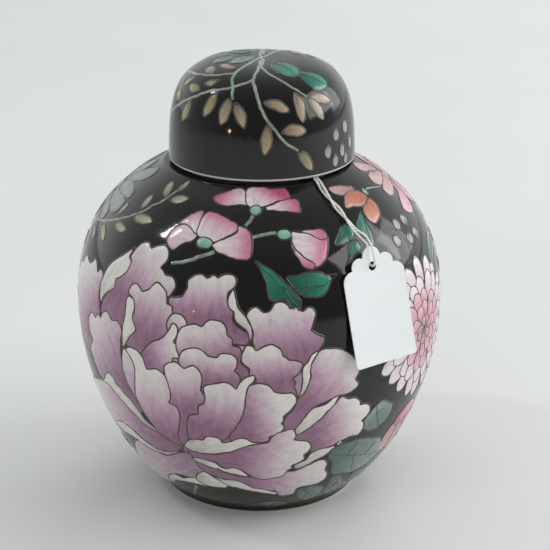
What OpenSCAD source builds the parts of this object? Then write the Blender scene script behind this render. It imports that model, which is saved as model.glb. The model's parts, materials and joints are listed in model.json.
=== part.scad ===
// Ginger jar: a round porcelain vessel with a loose cap lid, and a strung paper tag.
// Millimetres, +Z up, origin at the centre of the foot, front towards -Y.

/* [Vessel] */
// Largest radius of the body
body_r = 74.6; // [74:0.1:76]
// Height of the flat seat around the neck, where the shoulder ends
seat_z = 138.8; // [138:0.1:140]
// Radius at which the shoulder meets the seat
seat_r = 38; // [37.5:0.1:39]
// Outer radius of the foot ring
foot_r = 41.5; // [40:0.5:43]
// Thickness of the vessel wall
wall = 4; // [3:0.5:5]
// Outer radius of the neck
neck_r = 30.5; // [30:0.1:31]
// Height of the neck above the seat
neck_h = 18; // [16:1:20]

/* [Lid] */
// Outer radius of the lid
lid_r = 37.5; // [37:0.1:38]
// Top of the lid above the ground
lid_top = 180; // [178:1:184]
// Gap between the lid's rim and the seat
rim_gap = 1.4; // [1.4:0.1:2]
// Thickness of the lid's dome
dome_t = 4.4; // [3.5:0.1:5]
// Sideways play that the lid has taken up towards +X
lid_shift = 1.2; // [0:0.1:1.2]

/* [Tag] */
// Width of the card
card_w = 28; // [26:1:30]
// Length of the card
card_l = 45; // [44:1:46]
// Thickness of the card
card_t = 0.5; // [0.3:0.1:0.6]
// Diameter of the punched hole
hole_d = 3.5; // [3:0.5:4]
// Diameter of the string
string_d = 0.9; // [0.7:0.05:0.9]

/* [Hidden] */
$fn = 96;

glaze = [0.15, 0.16, 0.145];
paper = [0.93, 0.94, 0.95];
cotton = [0.9, 0.9, 0.88];

// Fit of the lid on the neck
seat_clear = 0.3;
neck_top = seat_z + neck_h;
mouth_r = neck_r - wall;
rim_z = seat_z + rim_gap;
skirt_r = neck_r + 2.7;
skirt_top = neck_top + seat_clear;
crown_r = neck_r - 2.5;

// Foot ring and floor
foot_h = 2.5;
foot_w = 4.5;
recess_z = 3.4;
floor_z = 8;

// The outside of the vessel from foot to seat, in shares of body_r and seat_z
shoulder_shares = [
    [0.724, 0.110], [0.865, 0.245], [0.965, 0.400], [1.000, 0.558],
    [0.976, 0.710], [0.871, 0.843], [0.684, 0.944]
];
outer_knots = concat([[foot_r, foot_h]],
    [for (s = shoulder_shares) [s[0] * body_r, s[1] * seat_z]],
    [[seat_r, seat_z]]);

// Catmull-Rom curve through a list of points, with n steps between neighbours
function blend(a, b, c, d, t) = 0.5 * (2 * b + (c - a) * t
    + (2 * a - 5 * b + 4 * c - d) * t * t + (3 * b - a - 3 * c + d) * t * t * t);
function padded(p) = let (m = len(p) - 1)
    concat([2 * p[0] - p[1]], p, [2 * p[m] - p[m - 1]]);
function curve(p, n) = let (q = padded(p))
    concat([for (i = [1 : len(p) - 1], k = [0 : n - 1])
        blend(q[i - 1], q[i], q[i + 1], q[i + 2], k / n)], [p[len(p) - 1]]);

// A planar curve moved sideways by d, to its left as it is followed
function unit(v) = v / norm(v);
function moved(p, d) = [for (i = [0 : len(p) - 1])
    let (t = unit(p[min(i + 1, len(p) - 1)] - p[max(i - 1, 0)])) p[i] + d * [-t[1], t[0]]];
function backwards(p) = [for (i = [len(p) - 1 : -1 : 0]) p[i]];

outer = curve(outer_knots, 5);
inner = [for (p = moved(outer, wall)) if (p[1] > floor_z + 3 && p[1] < seat_z - wall) p];

// Quarter of a rounded dome from its equator to its top
dome_base = 116;
side_power = 3.7;
top_power = 5.6;
function dome(r, top, n) = [for (k = [0 : n]) let (a = 90 * pow(k / n, 0.8))
    [r * pow(max(cos(a), 0), 2 / side_power),
     dome_base + (top - dome_base) * pow(sin(a), 2 / top_power)]];
dome_out = [for (p = dome(lid_r, lid_top, 48)) if (p[1] > rim_z + 2) p];
dome_in = [for (p = dome(crown_r, lid_top - dome_t, 40)) if (p[1] > skirt_top + 1) p];

// One closed vessel wall: foot ring, body, seat, neck and mouth
module jar_body() {
    color(glaze) rotate_extrude() polygon(concat(
        [[0, recess_z], [foot_r - foot_w - 1.5, recess_z], [foot_r - foot_w, 0.6],
         [foot_r - foot_w + 0.6, 0], [foot_r - 1.1, 0], [foot_r - 0.5, 0.5]],
        outer,
        [[neck_r + 1, seat_z], [neck_r, seat_z + 1], [neck_r, neck_top - 1],
         [neck_r - 0.4, neck_top - 0.2], [neck_r - 1, neck_top],
         [mouth_r + 1, neck_top], [mouth_r + 0.4, neck_top - 0.2],
         [mouth_r, neck_top - 1], [mouth_r, seat_z - 1],
         [mouth_r + 1, seat_z - 3], [mouth_r + 4, seat_z - wall]],
        backwards(inner),
        [[foot_r + 2, floor_z + 0.8], [foot_r - 3, floor_z], [0, floor_z]]));
}

// Cap with a flat-topped dome; a step inside rests on the neck
module lid() {
    color(glaze) translate([lid_shift, 0, 0]) rotate_extrude() polygon(concat(
        [[skirt_r + 0.5, rim_z], [lid_r - 0.8, rim_z], [lid_r - 0.2, rim_z + 0.5]],
        dome_out,
        [[0, lid_top], [0, lid_top - dome_t]],
        backwards(dome_in),
        [[crown_r, skirt_top], [skirt_r - 0.6, skirt_top], [skirt_r, skirt_top - 0.6],
         [skirt_r, rim_z + 0.5]]));
}

// The card leans on the shoulder: the middle of its lower edge, then its three turns
card_foot = [48.6, -62.8, 76.6];
card_yaw = 32;
card_lean = 14;
card_roll = 2;
hole_y = card_l - 7.6;
card_out = [sin(card_yaw) * cos(card_lean), -cos(card_yaw) * cos(card_lean), sin(card_lean)];
card_level = [cos(card_yaw), sin(card_yaw), 0];
card_rise = cross(card_out, card_level);
card_side = cos(card_roll) * card_level + sin(card_roll) * card_rise;
card_up = cos(card_roll) * card_rise - sin(card_roll) * card_level;
function on_card(up, out) = card_foot + up * card_up + out * card_out;

// Outline of the card: square foot, two scalloped shoulders and a rounded tab
module card_outline() {
    corner = 1.5;
    half = card_w / 2;
    translate([-half + corner, 0]) square([card_w - 2 * corner, card_l - 12.2]);
    translate([-half, corner]) square([card_w, card_l - 12.2 - corner]);
    translate([-9.6, 0]) square([19.2, card_l - 9]);
    translate([-5.9, 0]) square([11.8, card_l - 5.5]);
    translate([0, card_l - 3.9]) circle(r = 3.9);
    for (s = [-1, 1]) {
        translate([s * (half - corner), corner]) circle(r = corner);
        translate([s * (half - 4.4), card_l - 12.2]) circle(r = 4.4);
        translate([s * 5.9, card_l - 7]) circle(r = 3.5);
    }
}

// Blank swing tag with one punched hole
module tag_card() {
    color(paper) translate(card_foot) rotate([0, 0, card_yaw]) rotate([90 - card_lean, 0, 0])
        rotate([0, 0, card_roll]) translate([0, 0, -card_t / 2])
        linear_extrude(card_t) difference() {
            card_outline();
            translate([0, hole_y]) circle(d = hole_d);
        }
}

// The string's two strands, from the knot under the lid to the card: for each point
// its bearing from -Y, radius, height, tilt of the surface, half spread and turn
strands = [
    [75.0, 32.4, 140.2, 0, 0.65, 90], [64.0, 32.4, 139.5, 0, 0.65, 90],
    [51.0, 32.4, 139.5, 0, 0.65, 85], [41.0, 33.8, 139.5, 0, 0.65, 50],
    [36.5, 36.8, 139.5, 0, 0.65, 10], [34.8, 40.5, 138.9, 65, 0.65, 15],
    [34.0, 43.7, 137.2, 62, 0.65, 45], [33.8, 46.9, 135.5, 59, 0.65, 90],
    [34.2, 49.4, 133.8, 56, 0.65, 140], [34.8, 51.9, 131.9, 52, 0.65, 200],
    [35.4, 54.5, 130.0, 50, 0.65, 270], [36.0, 57.5, 127.6, 48, 0.65, 330],
    [36.5, 61.1, 125.0, 50, 0.75, 355], [37.0, 65.2, 123.3, 50, 0.90, 400]
];
function out_at(s) = [sin(s[0]) * cos(s[3]), -cos(s[0]) * cos(s[3]), sin(s[3])];
function side_at(s) = [cos(s[0]), sin(s[0]), 0];
function centre_at(s) = [s[1] * sin(s[0]), -s[1] * cos(s[0]), s[2]];
function strand_at(s, hand) = centre_at(s)
    + hand * s[4] * (cos(s[5]) * side_at(s) + sin(s[5]) * out_at(s));

// The loop that goes down in front of the card, through its hole and up behind it
loop_r = 2.35;
loop_up = hole_y + loop_r;
arm = [[card_l + 0.8, 1.35], [loop_up + 3.6, 1.75], [loop_up + 1.7, 2.2]];
loop = concat([for (p = arm) on_card(p[0], p[1])],
    [for (a = [0 : 36 : 180]) on_card(loop_up - loop_r * sin(a), loop_r * cos(a))],
    [for (p = backwards(arm)) on_card(p[0], -p[1])]);
route = concat([for (s = strands) strand_at(s, 1)], loop,
    backwards([for (s = strands) strand_at(s, -1)]));
string_path = curve(route, 2);

// Round tube along a path, one ring of sides at each point
module tube(p, d, sides) {
    n = len(p);
    dirs = [for (i = [0 : n - 1]) unit(p[min(i + 1, n - 1)] - p[max(i - 1, 0)])];
    rings = [for (i = [0 : n - 1]) let (
            u = unit(cross(dirs[i], [0.35, 0.45, 0.82])), v = cross(dirs[i], u))
        for (k = [0 : sides - 1]) let (a = 360 * k / sides)
            p[i] + d / 2 * (cos(a) * u + sin(a) * v)];
    walls = [for (i = [0 : n - 2], k = [0 : sides - 1]) let (j = (k + 1) % sides)
        [i * sides + k, (i + 1) * sides + k, (i + 1) * sides + j, i * sides + j]];
    polyhedron(points = rings, faces = concat(walls,
        [[for (k = [0 : sides - 1]) k]],
        [[for (k = [sides - 1 : -1 : 0]) (n - 1) * sides + k]]), convexity = 10);
}

module tag_string() {
    color(cotton) tube(string_path, string_d, 8);
}

// Overhand knot that joins the two ends, lying on the seat under the lid
knot_d = 2.5;
knot_l = 3;
module string_knot() {
    first = strands[0];
    turn = first[0];
    color(cotton) translate([first[1] * sin(turn), -first[1] * cos(turn), first[2]])
        rotate([0, 0, turn]) rotate([0, 90, 0]) cylinder(h = knot_l, d = knot_d, $fn = 24);
}

jar_body();
lid();
tag_card();
tag_string();
string_knot();
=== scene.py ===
import json
import math
import bpy
import numpy as np
from mathutils import Matrix, Vector, noise
from mathutils.geometry import delaunay_2d_cdt
from mathutils.kdtree import KDTree

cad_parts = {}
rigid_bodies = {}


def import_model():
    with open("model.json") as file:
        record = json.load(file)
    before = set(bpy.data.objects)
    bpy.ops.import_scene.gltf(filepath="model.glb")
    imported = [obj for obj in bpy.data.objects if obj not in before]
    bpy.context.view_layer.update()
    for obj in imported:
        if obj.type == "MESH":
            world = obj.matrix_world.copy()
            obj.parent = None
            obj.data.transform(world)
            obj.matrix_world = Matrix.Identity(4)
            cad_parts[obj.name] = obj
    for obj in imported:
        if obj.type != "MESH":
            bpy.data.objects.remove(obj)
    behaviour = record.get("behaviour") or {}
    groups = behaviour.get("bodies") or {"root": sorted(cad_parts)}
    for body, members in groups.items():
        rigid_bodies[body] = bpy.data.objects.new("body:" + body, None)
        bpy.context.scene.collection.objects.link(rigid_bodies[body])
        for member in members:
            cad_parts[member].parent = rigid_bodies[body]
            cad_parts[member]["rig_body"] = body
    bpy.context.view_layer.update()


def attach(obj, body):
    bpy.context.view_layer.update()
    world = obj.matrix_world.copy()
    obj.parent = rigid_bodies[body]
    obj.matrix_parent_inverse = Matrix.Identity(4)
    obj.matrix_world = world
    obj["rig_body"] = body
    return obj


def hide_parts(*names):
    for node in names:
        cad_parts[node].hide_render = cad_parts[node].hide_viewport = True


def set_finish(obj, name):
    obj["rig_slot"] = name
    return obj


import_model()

MM = 0.001


# ---------------------------------------------------------------- small helpers


def linear(rgb):
    """An sRGB colour given as 0 to 255, in linear light."""
    shares = [c / 255 for c in rgb]
    return [c / 12.92 if c < 0.04045 else ((c + 0.055) / 1.055) ** 2.4 for c in shares]


def rgba(rgb):
    return (*linear(rgb), 1.0)


def unit(v):
    v = np.asarray(v, float)
    return v / np.linalg.norm(v)


def placed(name, data):
    """A new object in the scene."""
    made = bpy.data.objects.new(name, data)
    bpy.context.collection.objects.link(made)
    return made


def mesh_piece(name, points_mm, faces, body, paint, slot, sharp_angle=None):
    """A mesh from points in millimetres, shaded smooth, riding on a CAD body."""
    data = bpy.data.meshes.new(name)
    data.from_pydata([tuple(float(c) * MM for c in p) for p in points_mm], [], faces)
    data.validate()
    data.polygons.foreach_set("use_smooth", [True] * len(data.polygons))
    if sharp_angle:
        data.set_sharp_from_angle(angle=math.radians(sharp_angle))
    data.materials.append(paint)
    piece = placed(name, data)
    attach(piece, body)
    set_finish(piece, slot)
    return piece


# ---------------------------------------------------------------- camera

EYE = (0.0, -0.6546, 0.3361)
AIM = (0.0065, 0.0, 0.0882)

camera_data = bpy.data.cameras.new("camera")
camera_data.sensor_width = 36.0
camera_data.lens = 110.7
camera_data.clip_end = 50.0
camera = placed("camera", camera_data)
camera.location = EYE
camera.rotation_euler = (Vector(AIM) - Vector(EYE)).to_track_quat("-Z", "Y").to_euler()
bpy.context.scene.camera = camera
bpy.context.scene.view_settings.view_transform = "Standard"


# ---------------------------------------------------------------- materials


def shader(name, roughness, **fixed):
    """A new material, its Principled shader, and a maker of nodes in it."""
    paint = bpy.data.materials.new(name)
    paint.use_nodes = True
    tree = paint.node_tree
    main = tree.nodes["Principled BSDF"]
    main.inputs["Roughness"].default_value = roughness
    for socket, value in fixed.items():
        main.inputs[socket.replace("_", " ")].default_value = value
    return paint, tree, main


def noise_of(tree, scale, detail=3.0, rough=0.55, vector=None, stretch=None):
    """A noise texture in object coordinates, or on a given vector, stretched if asked."""
    node = tree.nodes.new("ShaderNodeTexNoise")
    node.inputs["Scale"].default_value = scale
    node.inputs["Detail"].default_value = detail
    node.inputs["Roughness"].default_value = rough
    if vector is None:
        vector = tree.nodes.new("ShaderNodeTexCoord").outputs["Object"]
    if stretch is not None:
        mapping = tree.nodes.new("ShaderNodeMapping")
        mapping.inputs["Scale"].default_value = stretch
        tree.links.new(vector, mapping.inputs["Vector"])
        vector = mapping.outputs["Vector"]
    tree.links.new(vector, node.inputs["Vector"])
    return node.outputs["Fac"]


def ramp(tree, fac, stops):
    """A colour ramp with stops (position, sRGB colour)."""
    node = tree.nodes.new("ShaderNodeValToRGB")
    bar = node.color_ramp
    while len(bar.elements) < len(stops):
        bar.elements.new(0.5)
    for element, (place, colour) in zip(bar.elements, stops):
        element.position = place
        element.color = rgba(colour)
    tree.links.new(fac, node.inputs["Fac"])
    return node.outputs["Color"]


def ranged(tree, value, low, high, to_low, to_high):
    node = tree.nodes.new("ShaderNodeMapRange")
    for socket, number in zip(("From Min", "From Max", "To Min", "To Max"),
                              (low, high, to_low, to_high)):
        node.inputs[socket].default_value = number
    tree.links.new(value, node.inputs["Value"])
    return node.outputs["Result"]


def math_node(tree, operation, a, b):
    node = tree.nodes.new("ShaderNodeMath")
    node.operation = operation
    for socket, value in zip(node.inputs, (a, b)):
        if isinstance(value, (int, float)):
            socket.default_value = value
        else:
            tree.links.new(value, socket)
    return node.outputs["Value"]


def mixed(tree, fac, a, b, how="MIX"):
    """Two colours mixed. Each is a socket or an sRGB colour, and fac a socket or a number."""
    node = tree.nodes.new("ShaderNodeMix")
    node.data_type = "RGBA"
    node.blend_type = how
    for socket, value in ((node.inputs["Factor"], fac), (node.inputs[6], a), (node.inputs[7], b)):
        if isinstance(value, (int, float)):
            socket.default_value = value
        elif isinstance(value, (tuple, list)):
            socket.default_value = rgba(value)
        else:
            tree.links.new(value, socket)
    return node.outputs[2]


def bump(tree, main, height, strength, distance):
    node = tree.nodes.new("ShaderNodeBump")
    node.inputs["Strength"].default_value = strength
    node.inputs["Distance"].default_value = distance
    tree.links.new(height, node.inputs["Height"])
    tree.links.new(node.outputs["Normal"], main.inputs["Normal"])


def attribute(tree, name):
    node = tree.nodes.new("ShaderNodeAttribute")
    node.attribute_name = name
    return node.outputs


def finish(tree, main, colour, height, strength, distance):
    """Gives a shader its colour and its fine relief."""
    tree.links.new(colour, main.inputs["Base Color"])
    bump(tree, main, height, strength, distance)


def black_glaze_paint():
    paint, tree, main = shader("black_glaze", 0.08)
    cloudy = noise_of(tree, 22.0, 4.0)
    body = ramp(tree, cloudy, [(0.3, (9, 10, 8)), (0.55, (13, 14, 11)), (0.75, (22, 21, 16))])
    specks = ranged(tree, noise_of(tree, 900.0, 2.0), 0.66, 0.76, 0.0, 0.35)
    gloss = ranged(tree, noise_of(tree, 60.0, 3.0), 0.3, 0.7, 0.05, 0.12)
    tree.links.new(gloss, main.inputs["Roughness"])
    finish(tree, main, mixed(tree, specks, body, (62, 58, 48)), noise_of(tree, 240.0, 3.0), 0.12, 0.0004)
    return paint


def white_glaze_paint():
    paint, tree, main = shader("white_glaze", 0.16, Coat_Weight=0.3, Coat_Roughness=0.05)
    colour = ramp(tree, noise_of(tree, 35.0), [(0.3, (216, 218, 210)), (0.7, (228, 230, 226))])
    finish(tree, main, colour, noise_of(tree, 260.0), 0.1, 0.0004)
    return paint


def clay_paint(name, roughness, cloud_scale, clouds, specks, speck_colour, strength, distance):
    """Bare fired clay: a cloudy pale body with fine darker specks."""
    paint, tree, main = shader(name, roughness)
    grain = noise_of(tree, 500.0, 4.0, 0.7)
    pale = ramp(tree, noise_of(tree, cloud_scale), list(zip((0.3, 0.7), clouds)))
    from_grain, share = specks
    colour = mixed(tree, ranged(tree, grain, from_grain, 0.75, 0.0, share), pale, speck_colour)
    finish(tree, main, colour, grain, strength, distance)
    return paint


def enamel_paint():
    """Thick overglaze enamel: colour painted per petal, brushed along it, glassy on top."""
    paint, tree, main = shader("enamel", 0.3, Coat_Weight=0.35, Coat_Roughness=0.08)
    tint = attribute(tree, "tint")
    strokes = noise_of(tree, 1.0, 2.0, 0.4, attribute(tree, "flow")["Vector"], (0.14, 0.5, 1.0))
    mottle = noise_of(tree, 420.0, 4.0, 0.65)
    depth = ranged(tree, tint["Alpha"], 0.0, 1.0, 0.45, 0.1)
    amount = math_node(tree, "MULTIPLY", ranged(tree, strokes, 0.4, 0.66, 0.0, 1.0), depth)
    brushed = mixed(tree, amount, tint["Color"], (196, 172, 190), "MULTIPLY")
    worn = mixed(tree, ranged(tree, mottle, 0.52, 0.75, 0.0, 0.2), brushed, (150, 138, 136), "MULTIPLY")
    tree.links.new(ranged(tree, mottle, 0.3, 0.7, 0.2, 0.42), main.inputs["Roughness"])
    finish(tree, main, worn, math_node(tree, "ADD", strokes, mottle), 0.3, 0.0003)
    return paint


def outline_paint():
    paint, tree, main = shader("outline", 0.28, Coat_Weight=0.4, Coat_Roughness=0.08)
    grain = noise_of(tree, 350.0, 3.0)
    worn = ranged(tree, grain, 0.35, 0.7, 0.0, 0.6)
    colour = mixed(tree, worn, attribute(tree, "tint")["Color"], (110, 100, 104), "MULTIPLY")
    finish(tree, main, colour, grain, 0.3, 0.0002)
    return paint


def card_paint():
    paint, tree, main = shader("card", 0.6)
    fibres = noise_of(tree, 700.0, 5.0, 0.7)
    colour = ramp(tree, noise_of(tree, 40.0, 3.0), [(0.3, (238, 241, 243)), (0.7, (243, 245, 247))])
    shade = mixed(tree, ranged(tree, fibres, 0.4, 0.7, 0.0, 0.06), colour, (205, 206, 204))
    finish(tree, main, shade, fibres, 0.2, 0.0002)
    return paint


def cotton_paint():
    """Plied cotton: slanting plies round the string, from its own length and girth, with painted shade in
    the grooves between the plies.
    """
    paint, tree, main = shader("cotton", 0.85, Sheen_Weight=0.3)
    place = tree.nodes.new("ShaderNodeSeparateXYZ")
    tree.links.new(tree.nodes.new("ShaderNodeTexCoord").outputs["UV"], place.inputs["Vector"])
    turns = math_node(tree, "MULTIPLY", place.outputs["X"], 95.0)
    slant = math_node(tree, "ADD", turns, math_node(tree, "MULTIPLY", place.outputs["Y"], 2.0))
    wave = math_node(tree, "SINE", math_node(tree, "MULTIPLY", slant, math.pi), 0.0)
    ply = math_node(tree, "ABSOLUTE", wave, 0.0)
    fuzz = noise_of(tree, 2600.0, 4.0, 0.7)
    # painted shade: the grooves between the plies are coloured darker and the crests lighter, following the
    # relief
    colour = mixed(tree, ranged(tree, ply, 0.0, 0.6, 0.0, 1.0), (206, 203, 194), (250, 249, 244))
    dust_and_groove_shade = mixed(tree, ranged(tree, fuzz, 0.45, 0.75, 0.0, 0.4), colour, (222, 218, 208))
    relief = math_node(tree, "ADD", ply, math_node(tree, "MULTIPLY", fuzz, 0.5))
    finish(tree, main, dust_and_groove_shade, relief, 0.8, 0.0002)
    return paint


BLACK = black_glaze_paint()
WHITE = white_glaze_paint()
BISCUIT = clay_paint("biscuit", 0.82, 45.0, ((204, 190, 164), (226, 219, 204)), (0.62, 0.5),
                     (150, 118, 82), 0.4, 0.0003)
RIM = clay_paint("bare_rim", 0.6, 60.0, ((206, 205, 200), (222, 222, 218)), (0.6, 0.3),
                 (160, 148, 130), 0.3, 0.0002)
ENAMEL = enamel_paint()
OUTLINE = outline_paint()
CARD = card_paint()
COTTON = cotton_paint()


# ---------------------------------------------------------------- dimensions, as in part.scad

BODY_R, SEAT_Z, SEAT_R = 74.6, 138.8, 38.0
FOOT_R, FOOT_H, FOOT_W = 41.5, 2.5, 4.5
WALL, NECK_R, NECK_H = 4.0, 30.5, 18.0
NECK_TOP, MOUTH_R = SEAT_Z + NECK_H, NECK_R - WALL
RECESS_Z, FLOOR_Z = 3.4, 8.0
LID_R, LID_TOP, LID_SHIFT, DOME_T = 37.5, 180.0, 1.2, 4.4
RIM_Z, SKIRT_R, SKIRT_TOP, CROWN_R = SEAT_Z + 1.4, NECK_R + 2.7, NECK_TOP + 0.3, NECK_R - 2.5
DOME_BASE, SIDE_POWER, TOP_POWER = 116.0, 3.7, 5.6
STRING_D = 0.9
SHOULDER = [(0.724, 0.110), (0.865, 0.245), (0.965, 0.400), (1.0, 0.558),
            (0.976, 0.710), (0.871, 0.843), (0.684, 0.944)]


def catmull(points, steps):
    """The CAD file's curve through points: uniform, with mirrored end points."""
    p = [np.asarray(q, float) for q in points]
    p = [2 * p[0] - p[1], *p, 2 * p[-1] - p[-2]]
    made = []
    for a, b, c, d in zip(p, p[1:], p[2:], p[3:]):
        for k in range(steps):
            t = k / steps
            made.append(0.5 * (2 * b + (c - a) * t + (2 * a - 5 * b + 4 * c - d) * t * t
                               + (3 * b - a - 3 * c + d) * t ** 3))
    return made + [p[-2]]


def dome(radius, top, count, lowest):
    """The lid's rounded profile, from lowest up to its middle."""
    made = []
    for k in range(count + 1):
        a = math.pi / 2 * (k / count) ** 0.8
        z = DOME_BASE + (top - DOME_BASE) * math.sin(a) ** (2 / TOP_POWER)
        if z > lowest:
            made.append((radius * max(math.cos(a), 0) ** (2 / SIDE_POWER), z))
    return made


# ---------------------------------------------------------------- tag string, knot and card

CARD_L, CARD_W, CARD_T, HOLE_D = 45.0, 28.0, 0.5, 3.5
HOLE_Y = CARD_L - 7.6
CARD_FOOT = np.array([48.6, -62.8, 76.6])
YAW, LEAN, ROLL = math.radians(32), math.radians(14), math.radians(2)
CARD_OUT = np.array([math.sin(YAW) * math.cos(LEAN), -math.cos(YAW) * math.cos(LEAN), math.sin(LEAN)])
CARD_LEVEL = np.array([math.cos(YAW), math.sin(YAW), 0.0])
CARD_RISE = np.cross(CARD_OUT, CARD_LEVEL)
CARD_SIDE = math.cos(ROLL) * CARD_LEVEL + math.sin(ROLL) * CARD_RISE
CARD_UP = math.cos(ROLL) * CARD_RISE - math.sin(ROLL) * CARD_LEVEL

# each row: bearing, radius, height, tilt, half the gap between the strands, turn
STRANDS = [(75.0, 32.4, 140.2, 0, 0.65, 90), (64.0, 32.4, 139.5, 0, 0.65, 90),
           (51.0, 32.4, 139.5, 0, 0.65, 85), (41.0, 33.8, 139.5, 0, 0.65, 50),
           (36.5, 36.8, 139.5, 0, 0.65, 10), (34.8, 40.5, 138.9, 65, 0.65, 15),
           (34.0, 43.7, 137.2, 62, 0.65, 45), (33.8, 46.9, 135.5, 59, 0.65, 90),
           (34.2, 49.4, 133.8, 56, 0.65, 140), (34.8, 51.9, 131.9, 52, 0.65, 200),
           (35.4, 54.5, 130.0, 50, 0.65, 270), (36.0, 57.5, 127.6, 48, 0.65, 330),
           (36.5, 61.1, 125.0, 50, 0.75, 355), (37.0, 65.2, 123.3, 50, 0.90, 400)]


def on_card(up, out, side=0.0):
    return CARD_FOOT + up * CARD_UP + out * CARD_OUT + side * CARD_SIDE


def strand(row, hand):
    bearing, radius, z, tilt, half, turn = row
    b, t, w = math.radians(bearing), math.radians(tilt), math.radians(turn)
    out = np.array([math.sin(b) * math.cos(t), -math.cos(b) * math.cos(t), math.sin(t)])
    side = np.array([math.cos(b), math.sin(b), 0.0])
    middle = np.array([radius * math.sin(b), -radius * math.cos(b), z])
    return middle + hand * half * (math.cos(w) * side + math.sin(w) * out)


LOOP_R = 2.35
LOOP_UP = HOLE_Y + LOOP_R
ARM = [(CARD_L + 0.8, 1.35), (LOOP_UP + 3.6, 1.75), (LOOP_UP + 1.7, 2.2)]
route = [strand(row, 1) for row in STRANDS]
route += [on_card(up, out) for up, out in ARM]
for step in range(6):
    a = math.radians(36 * step)
    route.append(on_card(LOOP_UP - LOOP_R * math.sin(a), LOOP_R * math.cos(a)))
route += [on_card(up, -out) for up, out in reversed(ARM)]
route += [strand(row, -1) for row in reversed(STRANDS)]
string_path = catmull(route, 4)

string_data = bpy.data.curves.new("tag_string_cotton", "CURVE")
string_data.dimensions = "3D"
string_data.bevel_depth = STRING_D / 2 * MM
string_data.bevel_resolution = 4
string_data.use_fill_caps = True
spline = string_data.splines.new("POLY")
spline.points.add(len(string_path) - 1)
for point, place in zip(spline.points, string_path):
    point.co = (*[float(c) * MM for c in place], 1.0)
spline.use_smooth = True
string_data.materials.append(COTTON)
string = placed("tag_string_cotton", string_data)
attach(string, "jar")
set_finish(string, "cotton")
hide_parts("tag_string")


def tube_mesh(path, radius, sides):
    """Points and faces of a closed round tube along a closed path."""
    path = np.array(path)
    n = len(path)
    points, faces = [], []
    for i in range(n):
        along = unit(path[(i + 1) % n] - path[i - 1])
        u = unit(np.cross(along, (0.31, 0.52, 0.8)))
        v = np.cross(along, u)
        for k in range(sides):
            a = 2 * math.pi * k / sides
            points.append(path[i] + radius * (math.cos(a) * u + math.sin(a) * v))
            j, m = (i + 1) % n, (k + 1) % sides
            faces.append((i * sides + k, i * sides + m, j * sides + m, j * sides + k))
    return points, faces


KNOT_STEPS, KNOT_SIZE = 72, 0.27
knot_bearing, knot_radius, knot_z = math.radians(STRANDS[0][0]), *STRANDS[0][1:3]
knot_along = np.array([math.cos(knot_bearing), math.sin(knot_bearing), 0.0])
knot_out = np.array([math.sin(knot_bearing), -math.cos(knot_bearing), 0.0])
knot_up = np.array([0.0, 0.0, 1.0])
knot_start = knot_radius * knot_out + knot_z * knot_up
knot_path = []
for step in range(KNOT_STEPS):
    a = 2 * math.pi * step / KNOT_STEPS
    knot_path.append(knot_start + (1.5 + 0.85 * math.sin(3 * a) * 0.9) * knot_along
                     + KNOT_SIZE * (math.sin(a) + 2 * math.sin(2 * a)) * knot_out
                     + KNOT_SIZE * (math.cos(a) - 2 * math.cos(2 * a)) * knot_up)
knot_points, knot_faces = tube_mesh(knot_path, 0.44, 10)
knot = mesh_piece("string_knot_tied", knot_points, knot_faces, "jar", COTTON, "cotton")
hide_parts("string_knot")


# radii of the tag's bottom corners, outer scallops, inner scallops and top
CORNER_R, OUTER_R, INNER_R, TOP_R = 1.5, 4.4, 3.5, 3.9
OUTER_Y, INNER_X = CARD_L - 12.2, 5.9
EDGE_STEPS, HOLE_STEPS, CARD_GRID = 420, 40, 2.0


def card_edge():
    """The tag's outline about a point inside it: the farthest edge of its overlapping parts."""
    middle = np.array([0.0, 29.0])
    half = CARD_W / 2
    boxes = [(-half + CORNER_R, 0, half - CORNER_R, OUTER_Y), (-half, CORNER_R, half, OUTER_Y),
             (-9.6, 0, 9.6, CARD_L - 9), (-INNER_X, 0, INNER_X, CARD_L - 5.5)]
    rounds = [(0, CARD_L - TOP_R, TOP_R)]
    for s in (-1, 1):
        rounds += [(s * (half - CORNER_R), CORNER_R, CORNER_R), (s * (half - OUTER_R), OUTER_Y, OUTER_R),
                   (s * INNER_X, CARD_L - 7, INNER_R)]
    edge = []
    for step in range(EDGE_STEPS):
        a = 2 * math.pi * step / EDGE_STEPS
        way = np.array([math.cos(a), math.sin(a)])
        reach = 0.0
        for x0, y0, x1, y1 in boxes:
            hits = []
            for axis, low, high in ((0, x0, x1), (1, y0, y1)):
                if abs(way[axis]) > 1e-9:
                    hits.append(max((low - middle[axis]) / way[axis], (high - middle[axis]) / way[axis]))
            spot = middle + min(hits) * way
            if x0 - 1e-6 <= spot[0] <= x1 + 1e-6 and y0 - 1e-6 <= spot[1] <= y1 + 1e-6:
                reach = max(reach, min(hits))
        for x, y, r in rounds:
            off = np.array([x, y]) - middle
            near = off @ way
            gap = r * r - (off @ off - near * near)
            if gap > 0:
                reach = max(reach, near + math.sqrt(gap))
        edge.append(middle + reach * way)
    return edge


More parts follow.
